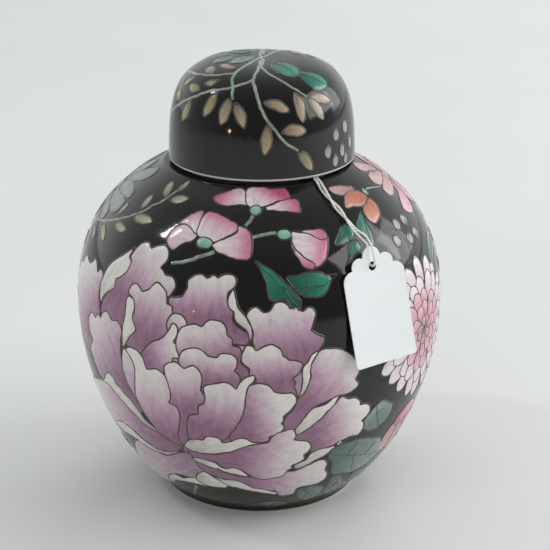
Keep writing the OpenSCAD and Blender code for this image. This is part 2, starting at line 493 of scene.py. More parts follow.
def card_mesh():
    edge = card_edge()
    turns = [2 * math.pi * k / HOLE_STEPS for k in range(HOLE_STEPS)]
    hole = [np.array([HOLE_D / 2 * math.cos(a), HOLE_Y + HOLE_D / 2 * math.sin(a)]) for a in turns]
    free = [np.array([x, y]) for x in np.arange(-13, 13.1, CARD_GRID) for y in np.arange(1.2, 43, CARD_GRID)
            if min(np.linalg.norm(e - (x, y)) for e in edge + hole) > 0.7]
    flat = edge + hole + free
    loops = [list(range(len(edge))), list(range(len(edge), len(edge) + len(hole)))]
    points, _, faces, _, _, owners = delaunay_2d_cdt([Vector(p) for p in flat], [], loops, 1, 1e-5, True)
    faces = [f for f, own in zip(faces, owners) if 0 in own and 1 not in own]
    used = sorted({i for f in faces for i in f})
    index = {old: new for new, old in enumerate(used)}
    faces = [tuple(index[i] for i in f) for f in faces]
    n = len(used)
    solid = []
    for half in (CARD_T / 2, -CARD_T / 2):
        for i in used:
            x, y = points[i]
            curl = 0.35 * (x / 14) ** 2 + 0.25 * ((y - 20) / 24) ** 2
            solid.append(on_card(y, half + curl - 0.1, x))
    sides = {}
    for f in faces:
        for a, b in zip(f, f[1:] + f[:1]):
            sides[(a, b)] = True
    walls = [(b, a, a + n, b + n) for (a, b) in sides if (b, a) not in sides]
    back = [tuple(i + n for i in reversed(f)) for f in faces]
    return solid, [tuple(f) for f in faces] + back + walls


card_points, card_faces = card_mesh()
card = mesh_piece("tag_card_paper", card_points, card_faces, "jar", CARD, "card", 40)
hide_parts("tag_card")


# ---------------------------------------------------------------- the pot and its lid

def lathe(name, profile, segments, body, paint, slot, centre_x=0.0):
    """A surface of revolution. The profile runs so that clay is on its left."""
    points, faces, rings = [], [], []
    for r, z in profile:
        if r < 1e-6:
            rings.append([len(points)] * segments)
            points.append((centre_x, 0.0, z))
            continue
        rings.append(list(range(len(points), len(points) + segments)))
        for k in range(segments):
            a = 2 * math.pi * k / segments
            points.append((centre_x + r * math.cos(a), r * math.sin(a), z))
    for low, high in zip(rings, rings[1:]):
        for k in range(segments):
            j = (k + 1) % segments
            corners = [low[k], low[j], high[j], high[k]]
            faces.append(tuple(dict.fromkeys(corners)))
    return mesh_piece(name, points, faces, body, paint, slot, 35)


side_points = [(a * BODY_R, b * SEAT_Z) for a, b in SHOULDER]
outer = catmull([(FOOT_R, FOOT_H)] + side_points + [(SEAT_R, SEAT_Z)], 12)
slopes = np.gradient(np.array(outer), axis=0)
slopes /= np.linalg.norm(slopes, axis=1)[:, None]
inner = [p + WALL * np.array([-t[1], t[0]]) for p, t in zip(outer, slopes)]
inner = [tuple(p) for p in inner if FLOOR_Z + 3 < p[1] < SEAT_Z - WALL]
GLAZE_R = NECK_R + 1.6

jar_glaze = lathe("jar_black_glaze",
                  [(FOOT_R - 0.5, 0.5)] + outer + [(SEAT_R - 0.5, SEAT_Z), (GLAZE_R, SEAT_Z)],
                  224, "jar", BLACK, "black_glaze")
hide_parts("jar_body")
lathe("jar_seat_and_neck",
      [(GLAZE_R, SEAT_Z), (NECK_R + 1, SEAT_Z), (NECK_R, SEAT_Z + 1), (NECK_R, NECK_TOP - 1),
       (NECK_R - 0.4, NECK_TOP - 0.2), (NECK_R - 1, NECK_TOP), (MOUTH_R + 1, NECK_TOP)],
      160, "jar", BISCUIT, "biscuit")
lathe("jar_inside_glaze", [(MOUTH_R + 1, NECK_TOP), (MOUTH_R + 0.4, NECK_TOP - 0.2), (MOUTH_R, NECK_TOP - 1),
                           (MOUTH_R, SEAT_Z - 1), (MOUTH_R + 1, SEAT_Z - 3), (MOUTH_R + 4, SEAT_Z - WALL)]
      + inner[::-1] + [(FOOT_R + 2, FLOOR_Z + 0.8), (FOOT_R - 3, FLOOR_Z), (0, FLOOR_Z)],
      128, "jar", WHITE, "white_glaze")
lathe("jar_foot_ring", [(FOOT_R - FOOT_W, 0.6), (FOOT_R - FOOT_W + 0.6, 0), (FOOT_R - 1.1, 0),
                        (FOOT_R - 0.5, 0.5)], 160, "jar", BISCUIT, "biscuit")
lathe("jar_recess_glaze", [(0, RECESS_Z), (FOOT_R - FOOT_W - 1.5, RECESS_Z), (FOOT_R - FOOT_W, 0.6)],
      128, "jar", WHITE, "white_glaze")

STRIP_Z = RIM_Z + 1.1
dome_out = dome(LID_R, LID_TOP, 90, STRIP_Z + 0.3)
dome_in = dome(CROWN_R, LID_TOP - DOME_T, 40, SKIRT_TOP + 1)
strip_rise = (STRIP_Z - DOME_BASE) / (LID_TOP - DOME_BASE)
strip_r = LID_R * (1 - strip_rise ** TOP_POWER) ** (1 / SIDE_POWER)
lid_glaze = lathe("lid_black_glaze", [(strip_r, STRIP_Z)] + dome_out[:-1] + [(0, LID_TOP)],
                  224, "lid", BLACK, "black_glaze", LID_SHIFT)
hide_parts("lid")
lathe("lid_bare_rim",
      [(SKIRT_R, RIM_Z + 0.5), (SKIRT_R + 0.5, RIM_Z), (LID_R - 0.8, RIM_Z), (LID_R - 0.2, RIM_Z + 0.5),
       (strip_r, STRIP_Z)], 160, "lid", RIM, "biscuit", LID_SHIFT)
lathe("lid_inside", [(0, LID_TOP - DOME_T)] + dome_in[::-1][1:]
      + [(CROWN_R, SKIRT_TOP), (SKIRT_R - 0.6, SKIRT_TOP), (SKIRT_R, SKIRT_TOP - 0.6),
         (SKIRT_R, RIM_Z + 0.5)],
      128, "lid", WHITE, "white_glaze", LID_SHIFT)


# ---------------------------------------------------------------- charts of the two painted surfaces

DEGREE = 1.3


class Chart:
    """Lays flat millimetres on a turned surface, a height above its glaze."""

    def __init__(self, profile, from_apex, centre_x, body):
        p = np.array(profile, float)
        self.from_apex, self.centre_x, self.body = from_apex, centre_x, body
        self.arc = np.concatenate([[0], np.cumsum(np.linalg.norm(np.diff(p, axis=0), axis=1))])
        slope = np.gradient(p, self.arc, axis=0)
        slope /= np.linalg.norm(slope, axis=1)[:, None]
        self.r, self.z = p[:, 0], p[:, 1]
        turn = -1 if from_apex else 1
        self.nr, self.nz = turn * slope[:, 1], -turn * slope[:, 0]

    def place(self, flat, height):
        flat = np.atleast_2d(np.asarray(flat, float))
        if self.from_apex:
            arc = np.hypot(flat[:, 0], flat[:, 1])
            bearing = np.arctan2(flat[:, 0], -flat[:, 1])
        else:
            arc = flat[:, 1]
            bearing = np.radians(flat[:, 0] / DEGREE)
        nr, nz = np.interp(arc, self.arc, self.nr), np.interp(arc, self.arc, self.nz)
        r = np.interp(arc, self.arc, self.r) + height * nr
        z = np.interp(arc, self.arc, self.z) + height * nz
        s, c = np.sin(bearing), -np.cos(bearing)
        points = np.stack([self.centre_x + r * s, r * c, z], axis=1)
        normals = np.stack([nr * s, nr * c, nz], axis=1)
        return points, normals / np.linalg.norm(normals, axis=1)[:, None]


body_chart = Chart(outer, False, 0.0, "jar")
lid_chart = Chart([(0.0, LID_TOP)] + dome_out[::-1][1:] + [(strip_r, STRIP_Z)], True, LID_SHIFT, "lid")


# ---------------------------------------------------------------- enamel painting

PALETTES = {
    "mauve": [(0, (144, 104, 130)), (0.26, (172, 136, 160)), (0.5, (200, 174, 189)), (0.74, (219, 209, 210)),
              (1, (227, 223, 217))],
    "pale": [(0, (160, 130, 150)), (0.5, (200, 180, 194)), (1, (220, 215, 214))],
    "fold": [(0, (196, 190, 184)), (0.4, (220, 218, 210)), (1, (228, 226, 220))],
    "blossom": [(0, (228, 224, 222)), (0.4, (222, 202, 208)), (0.72, (206, 140, 164)), (1, (180, 80, 114))],
    "blush": [(0, (222, 208, 211)), (0.6, (216, 194, 201)), (1, (208, 172, 186))],
    "olive": [(0, (112, 98, 72)), (0.4, (150, 140, 102)), (1, (172, 164, 130))],
    "pink": [(0, (186, 98, 128)), (0.5, (208, 138, 158)), (1, (224, 188, 194))],
    "rose": [(0, (164, 106, 108)), (0.5, (188, 142, 142)), (1, (202, 172, 168))],
    "orange": [(0, (174, 96, 64)), (0.5, (190, 120, 90)), (1, (198, 150, 136))],
    "chrys": [(0, (186, 120, 146)), (0.45, (212, 168, 184)), (0.75, (226, 212, 214)), (1, (232, 228, 225))],
    "emerald": [(0, (18, 84, 66)), (0.5, (30, 116, 92)), (1, (52, 140, 114))],
    "mint": [(0, (112, 168, 140)), (1, (156, 200, 178))],
    "tan": [(0, (118, 90, 82)), (0.3, (148, 128, 104)), (0.7, (170, 154, 124)), (1, (182, 170, 146))],
    "cream": [(0, (112, 104, 86)), (0.4, (156, 148, 122)), (1, (186, 182, 160))],
    "teal": [(0, (72, 98, 92)), (0.5, (100, 126, 118)), (1, (142, 158, 148))],
    "grey": [(0, (138, 138, 130)), (1, (172, 170, 160))],
    "sage": [(0, (84, 92, 86)), (0.5, (104, 111, 104)), (1, (130, 136, 126))],
}
LINE_DARK = (68, 52, 52)
LINE_EDGE = (92, 88, 76)
LINE_GREEN = (44, 66, 54)
LINE_STEM = (134, 160, 138)


def colour_at(name, t):
    """Linear colour of a palette at each t from 0 to 1."""
    stops = PALETTES[name]
    places = [s[0] for s in stops]
    shades = np.array([linear(s[1]) for s in stops])
    return np.stack([np.interp(t, places, shades[:, c]) for c in range(3)], axis=-1)


def read(text):
    """Points written as 'u v' pairs with commas between. A slash marks a sharp corner."""
    items = [item.strip() for item in text.split(",")]
    points = [np.array([float(c) for c in item.lstrip("/").split()]) for item in items]
    return points, [item.startswith("/") for item in items]


# the painting in millimetres: the brush's waver, the steps of its mesh and curves, and the
# enamel's relief from edge to middle
WAVER, WAVER_RATE = 0.42, 0.38
SPACING, CURVE_STEP = 1.1, 0.9
ROOT, EDGE_RISE, EDGE_WIDTH, PILLOW_WIDTH, UNEVEN = -0.07, 0.12, 0.5, 1.2, 0.03
# strokes this wide have a darker edge, which shows this much at each side
EDGED, EDGE_SHOWS = 1.3, 0.34
# height an outline starts from, and how much and how fast the brush's pressure changes
LINE_BASE, PRESSED, PRESS_RATE = 0.06, 0.45, 0.3
# step in the brush noise from one shape to the next, so no two are brushed alike
SHAPE_STEP = 7.3
# without a seed, noise_vector takes its offsets from the clock, and no two runs waver alike
noise.seed_set(7)


def flowing(points, sharp, closed):
    """A smooth line through points that turns a corner only at the sharp ones."""
    n = len(points)
    made = []
    for i in range(n if closed else n - 1):
        b, c = points[i], points[(i + 1) % n]
        a, d = points[i - 1], points[(i + 2) % n]
        if sharp[i] or (not closed and i == 0):
            a = 2 * b - c
        if sharp[(i + 1) % n] or (not closed and i == n - 2):
            d = 2 * c - b
        ab, bc, cd = (max(np.linalg.norm(q), 1e-6) for q in (b - a, c - b, d - c))
        start = ((b - a) / ab * bc + (c - b) / bc * ab) / (ab + bc) * bc
        end = ((c - b) / bc * cd + (d - c) / cd * bc) / (bc + cd) * bc
        count = max(2, math.ceil(bc / CURVE_STEP))
        for k in range(count):
            t = k / count
            made.append((2 * t ** 3 - 3 * t * t + 1) * b + (t ** 3 - 2 * t * t + t) * start
                        + (3 * t * t - 2 * t ** 3) * c + (t ** 3 - t * t) * end)
    if not closed:
        made.append(points[-1])
    return made


def by_hand(path):
    """A path with the small waver of a brush. It depends on place alone, so shared edges still meet."""
    moved = []
    for x, y in path:
        waver = noise.noise_vector(Vector((x * WAVER_RATE, y * WAVER_RATE, 5.0)))
        moved.append(np.array([x + WAVER * waver.x, y + WAVER * waver.y]))
    return moved


def inside(loop, spots):
    """Which spots lie inside a closed loop."""
    x, y = spots[:, 0], spots[:, 1]
    hit = np.zeros(len(spots), bool)
    for (x0, y0), (x1, y1) in zip(loop, loop[1:] + loop[:1]):
        if y0 == y1:
            continue
        crosses = (y0 > y) != (y1 > y)
        hit ^= crosses & (x < (x1 - x0) * (y - y0) / (y1 - y0) + x0)
    return hit


def tree_of(spots):
    tree = KDTree(len(spots))
    for i, spot in enumerate(spots):
        tree.insert((float(spot[0]), float(spot[1]), 0.0), i)
    tree.balance()
    return tree


def near(tree, spots):
    return np.array([tree.find((float(x), float(y), 0.0))[2] for x, y in spots])


def chains(edges):
    """Edges joined into runs that end where three or more meet."""
    meets = {}
    for a, b in edges:
        meets.setdefault(a, []).append(b)
        meets.setdefault(b, []).append(a)
    left = {frozenset(e) for e in edges}
    runs = []
    starts = sorted(v for v in meets if len(meets[v]) != 2) + sorted(v for v in meets if len(meets[v]) == 2)
    for start in starts:
        for second in sorted(meets[start]):
            if frozenset((start, second)) not in left:
                continue
            run = [start, second]
            left.discard(frozenset((start, second)))
            while len(meets[run[-1]]) == 2:
                ahead = [v for v in meets[run[-1]] if frozenset((run[-1], v)) in left]
                if not ahead:
                    break
                left.discard(frozenset((run[-1], ahead[0])))
                run.append(ahead[0])
            runs.append(run)
    return runs


# a raised line's half section: share of its half width, and height above the glaze
SECTION = [(-1.0, -0.10), (-0.62, 0.08), (0.0, 0.15), (0.62, 0.08), (1.0, -0.10)]


def sweep(chart, lines):
    """Raised half-round lines. Each line is (flat points, half widths, base height, colour)."""
    points, faces, shades = [], [], []
    for spots, halves, base, colour in lines:
        spots = np.array(spots)
        if len(spots) < 2:
            continue
        centre, normal = chart.place(spots, base)
        along = np.gradient(centre, axis=0)
        length = np.linalg.norm(along, axis=1)
        along /= np.maximum(length, 1e-9)[:, None]
        side = np.cross(along, normal)
        start = len(points)
        for i in range(len(spots)):
            for across, up in SECTION:
                points.append(centre[i] + side[i] * across * halves[i] + normal[i] * up)
        m = len(SECTION)
        for i in range(len(spots) - 1):
            for k in range(m - 1):
                a = start + i * m + k
                faces.append((a, a + m, a + m + 1, a + 1))
                shades.append(colour)
    return points, faces, shades


def tint_faces(piece, shades):
    """One linear colour for each face, kept on its corners."""
    data = piece.data
    layer = data.color_attributes.new("tint", "FLOAT_COLOR", "CORNER")
    values = np.ones((len(data.loops), 4), np.float32)
    for polygon, colour in zip(data.polygons, shades):
        for corner in polygon.loop_indices:
            values[corner, :3] = linear(colour)
    layer.data.foreach_set("color", values.ravel())


def filled(flat, loops):
    """Triangles over all the shapes, each with the index of the shape on top there."""
    rim = np.array(flat)
    low, high = rim.min(0), rim.max(0)
    grid = []
    for j, y in enumerate(np.arange(low[1], high[1], SPACING * 0.87)):
        for x in np.arange(low[0] + (j % 2) * SPACING / 2, high[0], SPACING):
            grid.append((x, y))
    grid = np.array(grid)
    keep = np.zeros(len(grid), bool)
    for loop in loops:
        keep |= inside([tuple(flat[i]) for i in loop], grid)
    grid = grid[keep]
    if len(grid):
        grid = grid[near(tree_of(flat), grid) > 0.5 * SPACING]
    everything = [Vector((float(x), float(y))) for x, y in list(flat) + list(grid)]
    spots, _, faces, _, _, owners = delaunay_2d_cdt(everything, [], loops, 1, 1e-4, True)
    shown = [(f, max(own)) for f, own in zip(faces, owners) if own]
    return np.array([(p[0], p[1]) for p in spots]), [f for f, _ in shown], [top for _, top in shown]


def borders(faces, tops):
    """The painting's outer edges, the seams between its shapes, and the shapes beside each edge."""
    beside = {}
    for f, top in zip(faces, tops):
        for a, b in zip(f, list(f[1:]) + [f[0]]):
            beside.setdefault((min(a, b), max(a, b)), []).append(top)
    rims = [e for e, t in beside.items() if len(t) == 1]
    seams = [e for e, t in beside.items() if len(set(t)) > 1]
    return rims, seams, beside


def away_from(edges, spots):
    marks = [spots[a] + (spots[b] - spots[a]) * k / 2 for a, b in edges for k in (0, 1)]
    return near(tree_of(marks), spots)


def tint_shapes(piece, shapes, tops, spots, wobble):
    """Colour from base to tip of each shape, its share in alpha, and the way the brush went."""
    data = piece.data
    tint = data.color_attributes.new("tint", "FLOAT_COLOR", "CORNER")
    flow = data.attributes.new("flow", "FLOAT_VECTOR", "CORNER")
    colours = np.ones((len(data.loops), 4), np.float32)
    streams = np.zeros((len(data.loops), 3), np.float32)
    corners = np.array([p.loop_indices[:] for p in data.polygons])
    owner = np.array(tops)
    vertex = np.zeros(len(data.loops), int)
    data.loops.foreach_get("vertex_index", vertex)
    for index, (palette, base, tip, _, _) in enumerate(shapes):
        mine = corners[owner == index].ravel()
        if not len(mine):
            continue
        reach = tip - base
        size = np.linalg.norm(reach)
        place = spots[vertex[mine]] - base
        t = np.clip(place @ reach / size ** 2 + 0.08 * wobble[vertex[mine]], 0, 1)
        colours[mine, :3] = colour_at(palette, t)
        colours[mine, 3] = t
        streams[mine, 0] = place @ reach / size
        streams[mine, 1] = (place[:, 0] * reach[1] - place[:, 1] * reach[0]) / size
        streams[mine, 2] = index * SHAPE_STEP
    tint.data.foreach_set("color", colours.ravel())
    flow.data.foreach_set("vector", streams.ravel())


def outline_runs(shapes, spots, rims, seams, beside, line):
    """The raised outlines: edges and seams joined up, a little smoothed, pressed unevenly."""
    lines = []
    for run in chains(rims + seams):
        top = max(beside[(min(run[0], run[1]), max(run[0], run[1]))])
        path = spots[run]
        if len(path) > 3:
            path[1:-1] = 0.5 * path[1:-1] + 0.25 * (path[:-2] + path[2:])
        pressed = [line * (1 + PRESSED * noise.noise(Vector((x * PRESS_RATE, y * PRESS_RATE, 9.0))))
                   for x, y in path]
        lines.append((path, pressed, LINE_BASE, shapes[top][4]))
    return lines


def stroke_runs(strokes, spots, lift):
    """Lines drawn over the shapes, each at the height of the enamel under it."""
    lines = []
    over = tree_of(spots)
    for text, width, end_width, colour in strokes:
        path = by_hand(flowing(*text, False))
        halves = (width + (end_width - width) * np.linspace(0, 1, len(path))) / 2
        ground = np.zeros(len(path))
        for i, (x, y) in enumerate(path):
            _, index, away = over.find((float(x), float(y), 0.0))
            ground[i] = max(lift[index], 0.0) if away < 1.0 else 0.0
        if width >= EDGED:
            lines.append((path, halves + EDGE_SHOWS, ground - 0.05, LINE_EDGE))
        lines.append((path, halves, ground, colour))
    return lines


def motif(name, chart, shapes, strokes=(), height=0.2, line=0.36):
    """Painted shapes, back to front, with raised outlines where they show, and strokes over them.
    A shape is (palette, base, tip, outline, line colour). A stroke is (points, width, end width, colour).
    """
    flat, loops = [], []
    for _, _, _, outline, _ in shapes:
        start = len(flat)
        ring = by_hand(flowing(*outline, True))
        turn = sum(a[0] * b[1] - b[0] * a[1] for a, b in zip(ring, ring[1:] + ring[:1]))
        flat += ring if turn > 0 else ring[::-1]
        loops.append(list(range(start, len(flat))))
    spots, faces, tops = filled(flat, loops)
    rims, seams, beside = borders(faces, tops)
    away, brink = away_from(rims + seams, spots), away_from(rims, spots)
    wobble = np.array([noise.noise(Vector((x * 0.35, y * 0.35, 3.0))) for x, y in spots])
    lift = ROOT + EDGE_RISE * np.clip(brink / EDGE_WIDTH, 0, 1)
    lift = lift + height * (1 - np.exp(-away / PILLOW_WIDTH)) + UNEVEN * wobble * np.clip(away, 0, 1)
    centre, normal = chart.place(spots, 0.0)
    points = centre + normal * lift[:, None]
    piece = mesh_piece(name, points, [tuple(f) for f in faces], chart.body, ENAMEL, "enamel")
    tint_shapes(piece, shapes, tops, spots, wobble)
    lines = outline_runs(shapes, spots, rims, seams, beside, line) + stroke_runs(strokes, spots, lift)
    points, faces, shades = sweep(chart, lines)
    drawn = mesh_piece(name + "_lines", points, faces, chart.body, OUTLINE, "outline")
    tint_faces(drawn, shades)
    return [piece, drawn]


def on_chart(text, stretch):
    """Points and corner marks, with the first number of each point stretched to millimetres."""
    points, sharp = read(text)
    return [np.array([x * stretch, y]) for x, y in points], sharp


def petals(text, edge=LINE_DARK, stretch=DEGREE):
    """Shapes from rows 'palette: base, tip: outline', with semicolons between them."""
    made = []
    for row in text.split(";"):
        palette, ends, outline = row.split(":")
        (base, tip), _ = on_chart(ends, stretch)
        made.append((palette.strip(), base, tip, on_chart(outline, stretch), edge))
    return made


# shares of a leaf's length and of its width, half there; its two ends are sharp
LEAF_ROWS = [(0.22, 0.36), (0.5, 0.5), (0.75, 0.42), (0.92, 0.2)]
LEAF_CORNERS = [True] + [False] * 4 + [True] + [False] * 4
VEIN_ROWS = (0.06, 0.35, 0.65, 0.88)


def leaves(text, bend=0.0, edge=LINE_DARK, stretch=DEGREE):
    """Leaf blades from rows 'palette width: foot, tip', each widest a little past its middle."""
    made = []
    for row in text.split(";"):
        kind, ends = row.split(":")
        palette, width = kind.split()
        (a, b), _ = on_chart(ends, stretch)
        along, side = b - a, unit([a[1] - b[1], b[0] - a[0]])
        ring = [a]
        for hand, rows in ((1, LEAF_ROWS), (-1, LEAF_ROWS[::-1])):
            for t, w in rows:
                out = hand * float(width) * w + bend * math.sin(math.pi * t)
                ring.append(a + along * t + side * out)
            ring.append(b)
        made.append((palette, a, b, (ring[:-1], LEAF_CORNERS), edge))
    return made


def veins(shapes, width, colour, bend=0.0):
    """A vein down the middle of each leaf."""
    made = []
    for _, a, b, _, _ in shapes:
        side = unit([a[1] - b[1], b[0] - a[0]])
        path = [a + (b - a) * t + side * bend * math.sin(math.pi * t) for t in VEIN_ROWS]
        made.append(((path, [False] * 4), width, width * 0.4, colour))
    return made


TENTHS = [math.pi / 5 * k for k in range(10)]


def ovals(palette, wide, tall, *centres):
    """Upright oval dots on the body."""
    made = []
    for x, y in centres:
        middle = np.array([x * DEGREE, y])
        ring = [middle + (wide * math.cos(a), tall * math.sin(a)) for a in TENTHS]
        made.append((palette, middle - (0, tall), middle + (0, tall), (ring, [False] * 10), LINE_DARK))
    return made


def strokes(text, width, end_width, colour=LINE_STEM, stretch=DEGREE):
    """Brush strokes of one width and colour. Semicolons part their paths."""
    return [(on_chart(path, stretch), width, end_width, colour) for path in text.split(";")]


